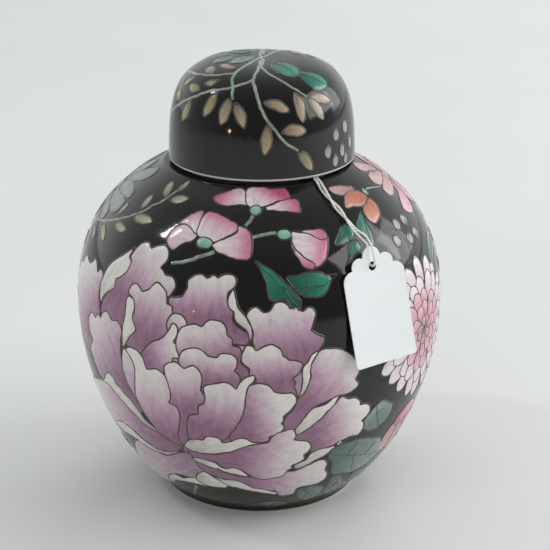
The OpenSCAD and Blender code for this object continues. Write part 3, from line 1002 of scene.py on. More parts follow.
# the peony, back petals first. Bearings in degrees from the front, then millimetres up the glaze
PEONY = petals("""
mauve: -14 50,-14 150: -38 56,-42 76,-36 92,-28 103,-18 99,-6 97,4 90,14 86,13 72,10 58,2 46,-12 40,-26 42;
mauve: -60 90,-70 112: -57 96,-58.5 104,/-58 110.5,-60 111.5,/-62 109.5,-65.5 113.5,-68 111.5,/-70.5 110,
-74 111.5,-76.5 110,/-77 107.5,-80 107,-81.5 103.5,/-81 101,-83 98.5,-82.5 94,/-81 92,-81.5 87,-78.5 81.5,
-73 76,-68 73,-62 76;
mauve: -46 106,-38 129: -56.5 96,-55.5 101.5,-53.5 105,-50.5 108.5,/-51 111,-48 113.5,-46.5 116,-46 119.5,
-47 121.5,-46 125,-44.5 128,-42 129,/-39.5 127,-37.5 128.5,-35.5 129.5,-32.5 128,-31.5 125,/-33.5 121,
/-31 118.5,-28 118,-26.5 115,-28 111.5,-34 100,-44 90,-52 92;
fold: -57 100,-47 122: -46.5 125.5,-49 123,-52 119.5,-55.5 116,-57.5 111.5,-58.5 106,-57.5 101,-56.5 97,
-56 101.5,-53.5 105,-50.5 108.5,/-51 111,-48 113.5,-46.5 116,-46 119.5,-47.5 121.5;
mauve: -14 105,-15 121: -28.5 108.5,-28 111,-26.5 111,/-24 111.5,/-22.5 115,-23 118,-21 120,-18.5 121,
/-16.5 119.5,-14.5 121,/-13 120,-11 121.5,-8.5 121.5,-7 119.5,-8 116.5,-9.5 115,-9.5 112.5,-8.5 109.5,
-7.5 107,-8 105,-5.5 101.5,-2.5 99,-3 96,-9 96,-18 98,-25 102;
fold: -3 98,-8 116: -8 116.5,-7.5 115,-6.5 110,-4 106,-2.5 102.5,-2 99.5,-2.5 96.5,-3.5 100.5,-5.5 102.5,
-7.5 105,-7.5 107.5,-9 109.5,-9.5 112.5,-9 115;
mauve: 8 92,6 111: -2 97,-2 100,-3 104,-4 106.5,-3 108.5,-1 110,/1 107.5,3.5 108.5,4 110.5,6.5 111.5,
8.5 110.5,/9 108.5,10.5 109.5,/13 107.5,15 109,16.5 107.5,16.5 103.5,/15 100,17.5 98,19 97,19 94.5,
17.5 92,15.5 90,12.5 86,6 88,0 91;
mauve: 14 72,27 88: 16.5 90.5,18.5 92,20.5 92,24 91,27 89,29.5 85,31 80,/29.5 77,31 74.5,28 71.5,25 71,
21.5 70,17.5 68,14.5 64.5,12 58.5,10.5 57,7 56,7 60,8 64.5,10.5 68.5,11 72.5,13.5 76.5,15 81,15 86;
fold: 12 74,16 90: 17 91.5,15 86,15 81.5,14 77,11.5 72.5,12.5 77,12.5 84.5,14 88,15.5 90.5;
mauve: 18 53,34 60: 11.5 55,18 60.5,21 64.5,23.5 68,25.5 70.5,/27.5 69,31 68,32.5 65.5,/32.5 64,35 64,
37 60.5,36 57.5,/34.5 56,36 54,36 51.5,35 48.5,31 48.5,28 47.5,22.5 45,18 44,14 48,11 52;
fold: 12 56,23 70: 24.5 71,22.5 70.5,19.5 68,/16.5 67.5,14.5 65,13 61.5,11 57,11.5 55,14.5 57,18 60.5,
20.5 64,23.5 68;
pale: -27 38,-60 20: -25 42,-30.5 40,-35 37,-43.5 37,-50.5 38,-54 35,-56.5 31,-61 25,-64 21,-60 16,-54 12,
-46 12,-42 20,-36 24,-29 25,-22 24,-20 30,-22 36;
fold: -43 16,-24 24: -45 14,-41.5 20.5,-39 23,-36 23.5,/-32.5 22.5,-29.5 24.5,-25.5 25.5,-23.5 24,-21 21,
-28 20.5,-33.5 19.5,-39.5 17.5,-43 14;
fold: -24 25,-14 23: -21.5 31.5,-17 28,-12.5 24,-13.5 22,-18 21,-22 21,-26 25,-25 28;
mauve: -5 30,24 24: -23 38,-15.5 34.5,-11 32,-3.5 31,1 30,5 30,10 34,12 33.5,15 35,18.5 37,21.5 38.5,
24 37.5,25 35,/25 31,26.5 28.5,27 25,25 22,21.5 21,/18 21.5,15 20,15 17,12 15,8.5 15.5,7 18,6.5 19.5,
3 20.5,-2.5 22,-5.5 24.5,-8 27,-13.5 28,-17.5 29.5,-21 32,-23 35.5;
fold: -18 29,6 19: -18.5 29.5,-13.5 28,-9 28,-6.5 26.5,-3.5 23.5,1 22,4 20.5,7.5 18,6.5 17,3 18,-1.5 19.5,
-6 21,-10 22.5,-13 23.5,-15 26;
fold: 14 37,30 48: 30.5 48,28 47.5,25 45.5,19.5 45,17.5 43.5,16 40,14 38.5,12 37,12.5 35,15.5 35.5,
19.5 38.5,22.5 40.5,25.5 44,27.5 45.5;
mauve: -46 72,-62 95: -39.5 60,-43 66.5,-45 73,-46 79,-46 88,-45.5 93,-47.5 95.5,/-50 94.5,-52.5 97,
-55.5 95.5,/-56.5 93,-58 94,/-60 91.5,-62 93,-64.5 90.5,-65 86,/-62.5 81,-64.5 78,-65.5 74,-64 70,-60 64,
-52 60,-44 54;
mauve: -36 48,-70 52: -27 45,-33.5 49.5,-39.5 51.5,-45 55.5,-50 60,-55.5 64,-59 65,-61.5 63.5,-66 61.5,
-69.5 61,/-70 59.5,-73 58,-75 54,/-74 51.5,-76 49,-75.5 44,/-74 42.5,-71 39.5,-66 39.5,-61 43,-55 45.5,
-50 44.5,-44.5 41,-38 38.5,-32.5 39.5;
fold: -40 54,-58 66: -61 64,-58 66,-56.5 68.5,-53.5 70.5,-51.5 69,/-51 66.5,-48.5 66,/-47.5 64,-45 63,
-42 58,-38 52.5,-34 50,-39.5 51,-45 55.5,-50 60,-55.5 64;
fold: -32 40,-62 40: -66 39.5,-61.5 43,-58 44.5,-55 45.5,-51.5 45,-48 43,-45 41,-41.5 39.5,-38 38.5,
-34 39.5,-30 41.5,-27 44,-30.5 40,-35 37,-39.5 36.5,-43.5 37,-47 37.5,-50.5 38.5,-55.5 38.5,-60 38;
mauve: -36 95,-34 115: -37 85,-44 88,-40 95,-41 98.5,-40.5 103.5,-42 107,-43.5 108,/-43.5 111,-41 112.5,
/-38.5 110,/-36 111.5,-33.5 115,-30.5 113.5,-29 110.5,/-29 108,-27 107.5,-26.5 104.5,-26 101,-30 93;
fold: -45 84,-42 106: -43.5 107,-41.5 106.5,-40.5 103.5,-41 98.5,-39.5 95,-41.5 91.5,-44 87,-45.5 79.5,
-45.5 86,-45 93,-44 99.5;
pale: -41 62,-44 85: -44.5 85.5,-46 79,-45 72,-42.5 65.5,-40 60,-41.5 65,-41 71.5,-40.5 78.5,-42 83;
mauve: -27 96,-24 105: -27 104,-25.5 105,-24 105,-22.5 103.5,-21.5 101.5,-23.5 99,-25 95,-28 98;
mauve: -35 84,-24 93: -37.5 84.5,-36 88,-34 91,-29 95,-27 99,-26.5 101,-25 100.5,-24.5 97,/-26 93.5,
-24 92.5,-23 90.5,-23.5 88,/-26.5 87,-26.5 85,-29 82,-30 76,-36 78;
mauve: -12 88,-16 104: -25 93.5,-24.5 96.5,-23.5 99.5,-21 101.5,-19 102,/-17 101,-15.5 103.5,-13.5 104.5,
-11 103.5,-9.5 101,/-9.5 98.5,-8 97.5,/-8 95,-6 94.5,-5 91.5,/-5.5 88,-3.5 86,-3 83,-6 80,-15 80,-22 84,
-24 88;
mauve: 4 80,3 95: -5 88.5,-4.5 93,-4 95,-2 95,/-1 93,1 94.5,3 95.5,5 94.5,6.5 92,/6.5 90.5,8 90,/8.5 89,
11 88.5,12.5 87,12 84.5,/9.5 81,10.5 79.5,/10 77.5,11 75.5,11 72,5 70,-2 74,-1.5 82.5,-3 83,-3 86;
mauve: -14 80,-14 92: -24 87.5,-23.5 89.5,-22 91.5,-19 92.5,-16.5 92,/-15 90,/-12.5 89.5,-11 91.5,-8 91.5,
-6.5 89.5,-6.5 86.5,/-7.5 84.5,-6 83.5,-5.5 81,-6.5 77.5,-12 76,-20 78;
mauve: -30 50,-33 81: -26.5 45.5,-34 49,-36 51,-40 60,-41.5 65,-41 71.5,-40.5 78.5,-42 83,/-44.5 85.5,
-41.5 87,-37.5 85,/-35.5 79.5,-32.5 81,-29.5 79.5,-27.5 71.5,/-28.5 67,-25.5 65.5,-25 64,-26.5 50;
mauve: -5 62,8 68: -10 54.5,-8 58,-6 63,-4.5 68,-4 74,-3 78.5,-1 79.5,2.5 79,/4.5 75.5,/6.5 75,9.5 75,
11 72.5,10 68.5,/7 64.5,7.5 63,/6.5 61.5,7.5 59.5,6.5 57,/3 55,3 53,1 52,-2 52,-6 50;
mauve: -14 58,-11 80: -26 45.5,-24 50,-23 60,-22 63,-19 64.5,-18.5 68.5,-17 69.5,-16.5 74,-16.5 76.5,
-14 78.5,-11 79.5,-8.5 79,/-7 77,-5.5 80.5,-1.5 83,-1.5 81,-3 78.5,-4 74,-4.5 68,-6 63,-8 58,-10 54.5,
-14 50,-20 47;
mauve: -22 66,-24 85: -26 45.5,-27 48,-25.5 64,-26 65.5,/-28.5 67,-27.5 71.5,-28 75,-29 79.5,-29 83,
-28 84.5,-25 85.5,/-22.5 83.5,-20 85.5,-17.5 83,-17 78.5,/-17.5 75,-16.5 73,-17 69.5,-18.5 68.5,/-19 64.5,
-22 63,-23 60,-24 50;
mauve: -8 44,14 40: -25 43.5,-20 43.5,-14 44,-9 46.5,-5.5 49,0 51,3 52,3.5 54,6.5 57,10.5 57.5,11.5 55,
/11 52.5,13.5 51.5,16 50.5,17 47.5,16 44.5,/15 43,15.5 41,14 39,/11 37,11.5 35.5,10 34.5,8.5 31.5,5 30,
1 29.5,-2.5 30.5,-5.5 34,-7 35.5,-9.5 36.5,-12 35.5,/-14 36.5,-15 38.5,-19 39.5,-23 39.5;
fold: -25 45,1 52: -26 45.5,-24 49.5,-21.5 51,-19 51,-17.5 53,-15 53.5,-13 53,/-12.5 50.5,-9 52,-7.5 53.5,
-5 54,-2 52,0 51,-2.5 50.5,-5.5 49,-9 46.5,-14 44.5,-20 43.5,-25 44.5;
fold: -24 39,-4 32: -24.5 39.5,-19 39.5,-17 39,-15 38,/-14 36,-12 35.5,-9.5 36.5,-7 35.5,-5 33,-3.5 31.5,
-7 31.5,-11 32.5,-15.5 34.5,-20 36.5,-23.5 38""")

BLOSSOM_LEFT = petals("""
blush: -24 133,-36 136: -35 131.5,-35 134.5,-33.5 138,-30.5 139.5,-28 139,-24 136.5,-23.5 135,-25 133,
-28.5 131,-30.5 128.5,-33.5 129.5;
blossom: -25 136,-29 148: -33 139,-31 143,-28 145.5,-24.5 146.5,-24 143,-23.5 138.5,-24 136.5,-28 139,
-31 139.5;
blossom: -20 134,-17 148: -24 143.5,-23 146,-19.5 146.5,-15.5 145.5,-11.5 143.5,-8.5 141.5,-8.5 139.5,
-12 136.5,-17 133.5,-18 133.5,-20 135,-23 135;
blossom: -16 133,-1 134: -8.5 141,-6 141,-3 138,-2.5 134.5,-2.5 131,-3 128,-6.5 127.5,-12 129,-15.5 130.5,
-17 132,-12 136,-8.5 139"""
) + ovals("mint", 4.2, 2.3, (-20, 133))
BLOSSOM_TOP = petals("""
blossom: -4 149,-22 156: -23 153.5,-20 151,-16.5 150,-8 151,-5.5 151,-6 153.5,-7 158,-9 159.5,-16 158;
blossom: 0 148,6 160: -7 158,-5.5 151,1.5 150,8.5 152.5,15.5 153.5,15.5 158,8 159.5;
blossom: 2 148,18 153: 1.5 149,8.5 152,14 153.5,19 152.5,19 149.5,18.5 147,14 147,7.5 148"""
) + ovals("mint", 3.6, 2.4, (-1.5, 148.5))
BLOSSOM_RIGHT = petals("""
blossom: 12 135,26 131: 12.5 138.5,16.5 138.5,21.5 138.5,25 138,26 135,25 131.5,23.5 127.5,21 124,18 123,
15 123.5,13 127.5,11.5 131.5,12 134.5;
blossom: 10 137,26 137: 12.5 138.5,16.5 138.5,21.5 138.5,25 138,26 135,24 133.5,19.5 136.5,14 138.2;
blossom: 10 136,18 122: 12 134.5,11.5 131.5,13 127.5,15 123.5,18 123,18.5 123.5,15 128,12.4 132"""
) + ovals("mint", 3.7, 2.3, (9.5, 137.5))
BLOSSOM_STEMS = strokes("-15.5 130,-20 127.5,-24.5 125,-30 123", 2.0, 1.2)
BLOSSOM_STEMS += strokes("-2.5 146,-4 143.5,-5.5 141.5; 6.5 138.5,2.5 138,-2.5 136.5", 1.7, 1.7)
EMERALD_LEAVES = petals("""
emerald: 10 109,-1 127: /-1.5 127,1.5 125.5,5 122.5,8.5 118,11 114.5,12.5 111,12.5 108.5,10 108.5,8 112.5,
5.5 111.5,3 112.5,2.5 117,1 122.5;
emerald: 10 117,25 120: 8.5 120.5,12 121,15 122,19.5 121.5,22.5 120,/25.5 120,23.5 118,22.5 116,
19.5 112.5,16 112.5,13 113.5,10 117.5;
emerald: 28 131,37 137: 27.5 131,30 134.5,33 137.5,/36 138.5,37.5 134.5,35 131.5,31 130.5;
emerald: 30 123,37 131: 29.5 122.5,31.5 126,33 130,/37 131.5,37.5 127.5,34 125;
emerald: 41 127,46 142: 40 136.5,43 139.5,/46.5 142,45.5 137.5,45 131,43 126.5,41 126.5,40 131""")
EMERALD_RIBS = strokes("""
11 110,7.5 116,3 122,-.5 126; 10.5 116.5,16.5 116,22 117,25 119.5; 29 131.5,33 134,36 138;
30.5 123.5,33.5 127,36.5 131; 42 128,43.5 134,46 141; 7.5 116,6 113.5; 14 116.2,15 113.4;
18.5 116.2,20.5 114.3; 15.5 116.2,14.5 120.5; 7 117,9.5 115.5""", 0.6, 0.3, LINE_GREEN)
FLOWER_ORANGE = petals("""
rose: 54 150,38 154: 38.5 155,41.5 156,47 155.5,51.5 153.5,54.5 152.5,52.5 151,47 151,41.5 151,39.5 152.5;
orange: 55 148,40 146: 40 145,42 148.5,46 151,51.5 151,56 148.5,56.5 146.5,53.5 144.5,48.5 143.5,44 144.5;
orange: 57 146,48 136: 47 139.5,48.5 142.5,52.5 144,57 145,58 143,56.5 138.5,52.5 136,49 135,47 137.5"""
) + ovals("mint", 2.1, 1.7, (58, 148.5))
FLOWERS_RIGHT_STEMS = strokes("60 149.3,64 148.5,69 147.2,72 146.5", 1.0, 0.7)
BUDS = ovals("grey", 2.8, 2.4, (60, 130.5), (66.5, 130.5), (55, 125), (63, 123), (69, 123.5))
LINE_TWIG = (52, 50, 44)
BUD_STEMS = strokes("52.5 133.5,56 130.5,59 126,60 121,60 116", 0.8, 0.6, LINE_TWIG)
BUD_STEMS += strokes("68 118.5,63.5 116,55 115", 0.8, 0.5, LINE_TWIG)
BUD_STEMS += strokes("66.5 130.5,64 126,60.5 121; 69 123.5,65 120,60 117.5", 0.6, 0.5, LINE_TWIG)
LOWER_LEAVES = petals("""
teal: 45 48,39 62: 37 58.5,40 62,42.5 62.5,45 60.5,48.5 57,48.5 55.5,47.5 51.5,44 48,41 48,36 51.5,
35.5 55.5;
teal: 26 41,54 31: 25 43.5,28 45.5,33 45.5,38 45,43.5 42.5,48.5 40,51.5 36.5,/54.5 31.5,53 28,48.5 23.5,
43.5 22.5,39 23,33.5 25,30.5 25.5,28 30,27 35.5,24.5 40;
teal: 31 25,45 3: 29.5 25,33 24.5,36.5 20.5,40 15,43.5 9.5,46 5,47 2,42 2,37 4.5,33 9,31 14,30 19;
sage: 43 21,60 9: 41.5 21.5,47 21.5,52 19,57 14,61 8.5,57 6.5,51 8,46 11.5,42.5 16;
teal: 18 19,28 5: 16 19.5,19 20.5,24 20.5,27.5 18,29.5 13.5,30 8,29 4,26 3.5,22.5 5,19 9,17 14;
sage: -12 2,13 5: -13 1.2,-8 2.6,-3 5,1 7.8,5 8.8,9.5 7.8,13 5,14 2.2,9 1,0 1""")
SINGLE_LEAVES = leaves("""
sage 8: -66 30,-80 20; teal 8: -70 16,-86 8; sage 8: 70 30,84 22; teal 7.5: 66 14,82 7;
teal 8: 71 109,84 118""")
LOWER_LEAVES += SINGLE_LEAVES
LINE_TEAL = (50, 64, 60)
LOWER_RIBS = strokes("""
27 40,39 35,46.5 32,54 30.5; 36 36.2,39 25.5; 46.5 32,49 27; 33 37.8,35 44; 42 34,46 39.5;
43.5 49,41 55,39.5 61; 39.5 57,43.5 58.5; 18.5 19,23 13,28 5; 21.5 15,21 10; 24.5 11,28 10.5;
32 24,38 14,45 4; 35 19,33 13; 38.5 13.5,43 9; 41 9.5,38.5 5.5; 44 20,51 14,59 8.5;
-11 1.8,0 3.4,12 5; -2 3.2,2 6.6; 5 4,8.5 7.2; 1 3.6,4 1.6""", 0.7, 0.35, LINE_TEAL)
LOWER_RIBS += veins(SINGLE_LEAVES, 0.5, LINE_DARK)
LOWER_RIBS += strokes("-27.5 19.5,-30.5 14,-34 8.5,-37 4.5,-40 1.5", 1.6, 1.0, (138, 146, 132))
LOWER_BLOOM = petals("""
rose: 60 45,50 30: 52 44,50 38,50.5 32,53.5 27.5,57 29,59 36,60 43,57 46;
rose: 60 45,60 27: 58.5 43,57.5 36,58 29,61 26.5,64.5 29.5,65.5 37,63.5 44;
rose: 62 46,72 32: 62.5 45,64.5 38,67.5 32,71.5 31,74 36,71.5 43,66 47;
pink: 58 45,62 56: 54 46,57 50.5,62 52.5,67 50.5,69.5 46.5,66 43.5,60 42,56 43""")


RAGGED, CURL = 0.05, 1.1
# shares of a long petal's length and of its width, half there
PETAL_ROWS = [(0.0, 0.28), (0.35, 0.38), (0.68, 0.5), (0.88, 0.4)]


def chrysanthemum(bearing, up, rings):
    """Rings of long petals round a centre, the outer rings behind. A ring is its count of petals,
    where they start and reach, their width, a turn and a palette."""
    middle = np.array([bearing * DEGREE, up])
    shapes = []
    for count, inner_r, outer_r, width, turn, palette in rings:
        for k in range(count):
            a = turn + 2 * math.pi * k / count
            reach = outer_r * (1 + RAGGED * math.sin(5.1 * k + count))
            curl = CURL * math.sin(2.3 * k + count)
            way, side = np.array([math.cos(a), math.sin(a)]), np.array([-math.sin(a), math.cos(a)])
            ring = []
            for hand, rows in ((1, PETAL_ROWS), (-1, PETAL_ROWS[::-1])):
                for t, w in rows:
                    ring.append(middle + way * (inner_r + (reach - inner_r) * t)
                                + side * (hand * width * w + curl * t))
                ring.append(middle + way * reach + side * curl)
            shapes.append((palette, middle + way * inner_r * 0.6, ring[-1], (ring[:-1], [False] * 9),
                           LINE_DARK))
    return shapes


CHRYSANTHEMUM = chrysanthemum(61, 86, [
    (20, 11, 29, 7.2, 0.0, "chrys"), (17, 8, 23, 6.8, 0.16, "chrys"), (13, 5, 17, 6.4, 0.05, "pink"),
    (10, 2, 11.5, 5.4, 0.2, "pink"), (7, 0.4, 6, 4.0, 0.1, "rose")])
SPRAY_BODY = leaves("""
cream 4.6: -47.5 149,-54.5 156; cream 3.8: -45 148.3,-35 150.8; cream 4.6: -56 140,-56.5 147.5;
cream 4: -57 136.5,-45.5 137; cream 3.4: -65 130,-55.5 129.5; cream 3.8: -74 126.5,-65.5 121.5;
cream 4: -67 132.5,-67 140; cream 4.2: -44.5 152.5,-43 159.5; cream 3.2: -82 122.5,-74.5 118.8
""", 0.0, LINE_EDGE)
SPRAY_STEMS = strokes("""-88 121.5,-80 125.3,-74.5 127,-69 129.5,-63.5 132.5,-58 136,-54 139.5,-51.5 143,
-48 146.5,-45.5 151.5,-44.5 156.5""", 1.3, 1.0, (158, 152, 128))
FLOWER_SAGE = petals("""
sage: -94 142,-75 155: -95 141,-92 147,-88 152,-83 156.5,-77 157.5,-73.5 155,-73.5 151.5,-78 148,-85 145,
-90 142;
sage: -93 140,-70 143: -94 139.5,-88 144.5,-82 146,-76 145.3,-70.5 143.3,-69.5 141.5,-72.5 140.3,
-80 139.5,-87 138;
sage: -93 136,-70 136.5: -94 137,-87 138,-80 139.5,-73 139.8,-69.6 138,-69.5 134.5,-73 131.8,-80 132.2,
-87 133.5,-93 135;
sage: -93 134,-76 128: -94 135.5,-87 133.4,-80 132,-76 129.8,-76.5 127.2,-82 126,-88 128,-92 131""")
FLOWER_PINK = petals("""
rose: 90 150,76 158: 90 147,85 152,78 154.5,75 157,76.5 159.5,82 160,88 157,92 152;
rose: 90 147,71 149.5: 90 145.5,80 146,73 147,70.8 149.5,73 152,80 152.8,86 151,91 148;
rose: 90 144,72 143: 90 142.5,82 141,76 140,72 141.5,71.5 144,76 146,82 146.5,90 146;
pink: 90 140,73 132: 90 143,82 138.8,75 135.8,72.5 133.5,74.5 130.5,79.5 129,85 132,91 139""")


def far_half(shapes, bearing):
    """The guessed far half of a flower, mirrored about its centre's bearing and a little shorter."""
    middle = bearing * DEGREE
    made = []
    for palette, base, tip, (ring, sharp), edge in shapes:
        base, tip, *ring = [np.array([middle - 0.9 * (x - middle), y]) for x, y in (base, tip, *ring)]
        made.append((palette, base, tip, (ring, sharp), edge))
    return made


FLOWER_SAGE += far_half(FLOWER_SAGE, -96)
FLOWER_SAGE += petals("""
sage: -96 142,-94 157: -96 140,-99.5 147,-100 153.5,-96 157.5,-91.5 156.5,-88.5 153,-92 147;
sage: -96 133,-96 121: -96 135,-99.5 129,-100 124,-96.5 120.5,-92.5 122,-91.5 127,-93 131.5"""
) + ovals("mint", 3.0, 2.6, (-96, 138))
FLOWER_PINK += far_half(FLOWER_PINK, 92)
FLOWER_PINK += petals("""
rose: 92 141,92 129: 92 142,88 137,88.5 131,92 128,95.5 131,96 137"""
) + ovals("mint", 3.0, 2.6, (92, 145))


# a guessed spray in the black gap at each side, which the photograph doesn't show
# where each leaf of the side spray leaves its stem, and to which side
SIDE_PLACES = [(90, 41, 1), (90.5, 53, -1), (90, 64, 1), (89.5, 75, -1), (90, 86, 1), (90.5, 97, -1)]
SIDE_SPRAY, SIDE_VEINS = [], []
for bearing, up, hand in SIDE_PLACES:
    ends = f"{bearing + 0.7 * hand} {up},{bearing + 6.2 * hand} {up + 8.5}"
    blade = leaves("emerald 5:" + ends, 0.5 * hand, LINE_GREEN)
    SIDE_SPRAY += blade
    SIDE_VEINS += veins(blade, 0.6, LINE_GREEN, 0.5 * hand)
SIDE_SPRAY += ovals("blossom", 2.6, 3.2, (90.6, 113))
SIDE_STEMS = strokes("91 30,89.5 45,91 60,89 75,91 90,89.5 101,90.5 110", 1.2, 0.8) + SIDE_VEINS


# on the lid, readings are millimetres from the middle of its top
MINT_LINE = (132, 178, 154)
PALE_LINE = (158, 168, 154)
LID_LEAVES = leaves("""
olive 4.8: -30.5 -22.5,-40.5 -24.5; olive 3.6: -25.5 -22,-30 -14.5; olive 4.8: -18 -27.5,-27 -33.5;
tan 5: -13 -32,-20 -40.5; tan 4.4: -11.5 -34,-8.5 -45; olive 3: -16.5 -22,-23 -20.3;
tan 3.8: -35.5 -15.5,-38 -7.5; cream 3.4: -25.5 -12,-33 -9.5; tan 3.6: -19 -16,-20.5 -7;
tan 3.8: -10.5 -15.5,-15.5 -7.5; tan 5.6: 2.5 -44,1.5 -56; tan 4.2: 0.5 -35.5,12 -38;
tan 4.8: 13 -29.5,19.5 -40; tan 4.6: 9.5 -46.5,22.5 -42.5; olive 5: 20.5 -52,33 -54;
tan 4.4: 19 -29.5,30.5 -24; cream 4.6: 19 -30,29.5 -33.5""", 0.4, LINE_EDGE, 1.0)
LID_STEMS = strokes("0 0,.7 -6.5,0 -15,3.5 -22,8 -25.5,13 -28,18.5 -29.5", 1.6, 1.0, PALE_LINE, 1.0)
LID_STEMS += strokes("-.5 0,-3 -5.5,-6.5 -13,-10.5 -19.5,-11.5 -26.5,-12 -33", 1.9, 1.2, MINT_LINE, 1.0)
LID_STEMS += strokes("-10.5 -19.5,-15.5 -18.5,-20 -16.5,-24.5 -12,-28 -6.5,-30 0", 1.5, 1.0, PALE_LINE, 1.0)
LID_STEMS += strokes("""
-.5 -5,-1 -15,-2.5 -22,-3.5 -25,-8 -27,-13.5 -27.5,-20 -25.5,-27 -23.5,-34.5 -19.5,-40 -15.5,-45 -10;
-3.5 -25,-2.5 -30.5,-.5 -38,2 -42,7 -46.5,13 -50,20.5 -51""", 1.6, 1.0, PALE_LINE, 1.0)
LID_GREEN = petals("""
emerald: 5 -11,13 -19: 4.5 -9.5,8 -6.5,11.5 -9.5,14.5 -15,14 -19.5,10.5 -22,6.5 -20,4 -15.5;
emerald: 15 -18,26 -18: 14.5 -17,18.5 -15,23.5 -14.5,27 -18,25.5 -21.5,21.5 -24.5,17 -23,14.5 -20.5
""", LINE_GREEN, 1.0)
LID_GREEN_RIBS = strokes("5 -10,9.5 -14,12.5 -20.5; 15 -18,20.5 -19,26 -18.5", 0.7, 0.4, LINE_GREEN, 1.0)
LID_CROWN_LEAVES = leaves("teal 7: -4 4.5,-11.5 -9; teal 6.6: -12 5,-18.5 -5.5", 0.4, LINE_GREEN, 1.0)
LID_CROWN_RIBS = veins(LID_CROWN_LEAVES, 0.6, LINE_GREEN, 0.4)


BUD_DOWN, BUD_ROUND = 2.4, 3.0


def lid_bud(x, y):
    """A bud on the lid's side, where the chart is wider than the lid: longest down the lid."""
    middle = np.array([x, y], float)
    down = unit(middle)
    round_it = np.array([-down[1], down[0]])
    ring = [middle + down * BUD_DOWN * math.cos(a) + round_it * BUD_ROUND * math.sin(a) for a in TENTHS]
    return "grey", middle - down * 2, middle + down * 2, (ring, [False] * 10), LINE_DARK


LID_BUDS = [lid_bud(*place) for place in (
    (40.5, -32.5), (44.5, -23.5), (49.5, -32), (53, -21.5), (39.5, -42), (55, -30), (47.5, -40))]

painted = motif("peony", body_chart, PEONY, height=0.3, line=0.44)
painted += motif("blossom_left", body_chart, BLOSSOM_LEFT, BLOSSOM_STEMS)
painted += motif("blossom_top", body_chart, BLOSSOM_TOP)
painted += motif("blossom_right", body_chart, BLOSSOM_RIGHT)
painted += motif("emerald_leaves", body_chart, EMERALD_LEAVES, EMERALD_RIBS)
painted += motif("flower_orange", body_chart, FLOWER_ORANGE)
painted += motif("buds", body_chart, BUDS, BUD_STEMS)
painted += motif("lower_leaves", body_chart, LOWER_LEAVES, LOWER_RIBS)
painted += motif("lower_bloom", body_chart, LOWER_BLOOM)
painted += motif("chrysanthemum", body_chart, CHRYSANTHEMUM, height=0.25)
painted += motif("spray_left", body_chart, SPRAY_BODY, SPRAY_STEMS)
painted += motif("side_spray", body_chart, SIDE_SPRAY, SIDE_STEMS)
painted += motif("lid_spray", lid_chart, LID_LEAVES, LID_STEMS)
painted += motif("lid_leaves", lid_chart, LID_GREEN, LID_GREEN_RIBS)
painted += motif("lid_buds", lid_chart, LID_BUDS)

# these reach past the side of the pot, so the copies below leave them out
motif("flower_pink", body_chart, FLOWER_PINK, FLOWERS_RIGHT_STEMS)
motif("flower_sage", body_chart, FLOWER_SAGE)
motif("lid_crown_leaves", lid_chart, LID_CROWN_LEAVES, LID_CROWN_RIBS)

# the side away from the photograph carries the same painting, half a turn round
half_turn = Matrix.Rotation(math.pi, 4, "Z")
for front in painted:
    centre_x = LID_SHIFT * MM if front["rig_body"] == "lid" else 0.0
    back = placed(front.name + "_back", front.data)
    back.matrix_world = (Matrix.Translation((centre_x, 0, 0)) @ half_turn
                         @ Matrix.Translation((-centre_x, 0, 0)))
    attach(back, front["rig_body"])
    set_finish(back, front["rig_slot"])


# ---------------------------------------------------------------- floor and light


def floor_paint():
    paint, tree, main = shader("floor", 0.6)
    colour = ramp(tree, noise_of(tree, 6.0, 2.0), [(0.3, (219, 220, 219)), (0.7, (222, 223, 222))])
    finish(tree, main, colour, noise_of(tree, 400.0, 3.0), 0.05, 0.0003)
    return paint


floor_data = bpy.data.meshes.new("floor")
floor_data.from_pydata([(-5, -4, 0), (5, -4, 0), (5, 6, 0), (-5, 6, 0)], [], [(0, 1, 2, 3)])
floor_data.materials.append(floor_paint())
floor = placed("floor", floor_data)
floor.location = (0.0, 0.0, -0.0003)


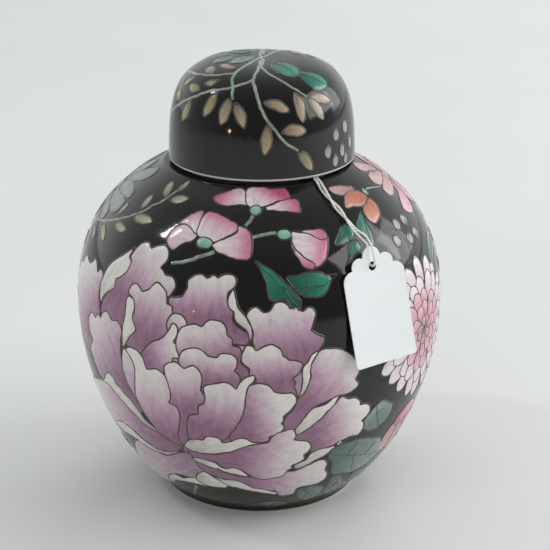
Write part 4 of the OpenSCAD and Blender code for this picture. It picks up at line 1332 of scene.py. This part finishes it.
def soft_light(name, place, target, wide, tall, power, colour, mirrored=True):
    data = bpy.data.lights.new(name, "AREA")
    data.shape = "RECTANGLE"
    data.size = wide
    data.size_y = tall
    data.energy = power
    data.color = colour
    lamp = placed(name, data)
    lamp.location = place
    lamp.visible_glossy = mirrored
    lamp.rotation_euler = (Vector(target) - Vector(place)).to_track_quat("-Z", "Y").to_euler()


# each light: its place and what it faces, its size, watts, colour and whether glazes mirror it
soft_light("key_right", (2.0, -0.2, 1.15), (0.0, 0.0, 0.1), 1.9, 1.4, 27.0, (1.0, 0.995, 0.98))
soft_light("window_left", (-1.03, 0.07, 1.25), (0.0, 0.0, 0.1), 0.07, 0.24, 2.6, (0.95, 0.97, 1.0))
soft_light("window_right", (1.72, 0.68, 0.72), (0.0, 0.0, 0.1), 0.7, 0.9, 4.5, (0.92, 0.96, 1.0))
soft_light("lamp_warm", (-0.95, -1.16, 0.2), (0.0, 0.0, 0.1), 0.05, 0.05, 0.35, (1.0, 0.62, 0.36))
soft_light("front_soft", (-0.9, -2.2, 2.0), (0.0, 0.0, 0.08), 2.6, 2.6, 21.5, (1.0, 0.99, 0.97), False)
soft_light("back_right", (1.2, 2.6, 1.8), (0.4, 1.1, 0.0), 2.0, 1.2, 32.0, (0.98, 0.99, 1.0), False)

# the room is dim behind the camera, bright beyond the pot and brightest low at its far corners
world = bpy.data.worlds.new("studio")
world.use_nodes = True
sky = world.node_tree
toward = sky.nodes.new("ShaderNodeSeparateXYZ")
sky.links.new(sky.nodes.new("ShaderNodeTexCoord").outputs["Generated"], toward.inputs["Vector"])
beyond = ranged(sky, toward.outputs["Y"], -0.8, 0.6, 0.3, 0.8)
aside = math_node(sky, "MULTIPLY", math_node(sky, "ABSOLUTE", toward.outputs["X"], 0.0), toward.outputs["Y"])
low = ranged(sky, math_node(sky, "ABSOLUTE", toward.outputs["Z"], 0.0), 0.25, 0.75, 1.0, 0.0)
banks = math_node(sky, "MULTIPLY", ranged(sky, aside, 0.1, 0.45, 0.0, 0.8), low)
glow = math_node(sky, "ADD", beyond, banks)
sky.nodes["Background"].inputs["Color"].default_value = rgba((222, 225, 227))
sky.links.new(glow, sky.nodes["Background"].inputs["Strength"])
bpy.context.scene.world = world

bpy.context.view_layer.update()
